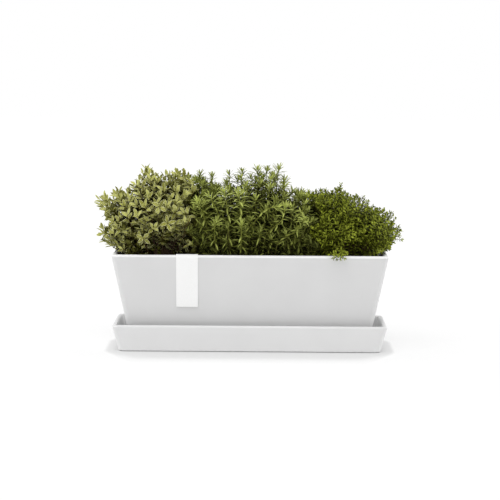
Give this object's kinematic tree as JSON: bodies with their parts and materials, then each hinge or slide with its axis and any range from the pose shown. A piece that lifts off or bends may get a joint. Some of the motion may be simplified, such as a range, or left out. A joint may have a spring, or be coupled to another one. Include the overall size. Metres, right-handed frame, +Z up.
{
  "type": "rectangular planter",
  "caption": "Long tapered rectangular planter standing in a matching saucer, with a plain card label over its rim and kitchen herbs that lift out with their root balls.",
  "frame": {"origin": "centre of the saucer's underside, on the surface that the planter stands on", "axes": "+X along the planter's length, -Y towards the front with the label, +Z up"},
  "size_m": [0.2854, 0.0968, 0.1701],
  "materials": {
    "pot_plastic": "matte",
    "saucer_plastic": "matte",
    "card": "matte",
    "soil": "matte",
    "pale_leaves": "satin",
    "narrow_leaves": "satin",
    "green_leaves": "satin"
  },
  "bodies": {
    "saucer": {"saucer": "saucer_plastic"},
    "pot": {"pot": "pot_plastic", "label_card": "card"},
    "plant_left": {"root_ball_left": "soil", "thyme_variegated": "pale_leaves"},
    "plant_middle": {"root_ball_middle": "soil", "savory": "narrow_leaves"},
    "plant_right": {"root_ball_right": "soil", "thyme_green": "green_leaves"}
  },
  "joints": [
    {"name": "pot_lift", "type": "slide", "parent": "saucer", "child": "pot", "axis": [0, 0, 1], "range_m": [0, 0.08]},
    {"name": "plant_left_lift", "type": "slide", "parent": "pot", "child": "plant_left", "axis": [0, 0, 1], "range_m": [0, 0.1]},
    {"name": "plant_middle_lift", "type": "slide", "parent": "pot", "child": "plant_middle", "axis": [0, 0, 1], "range_m": [0, 0.1]},
    {"name": "plant_right_lift", "type": "slide", "parent": "pot", "child": "plant_right", "axis": [0, 0, 1], "range_m": [0, 0.1]}
  ]
}
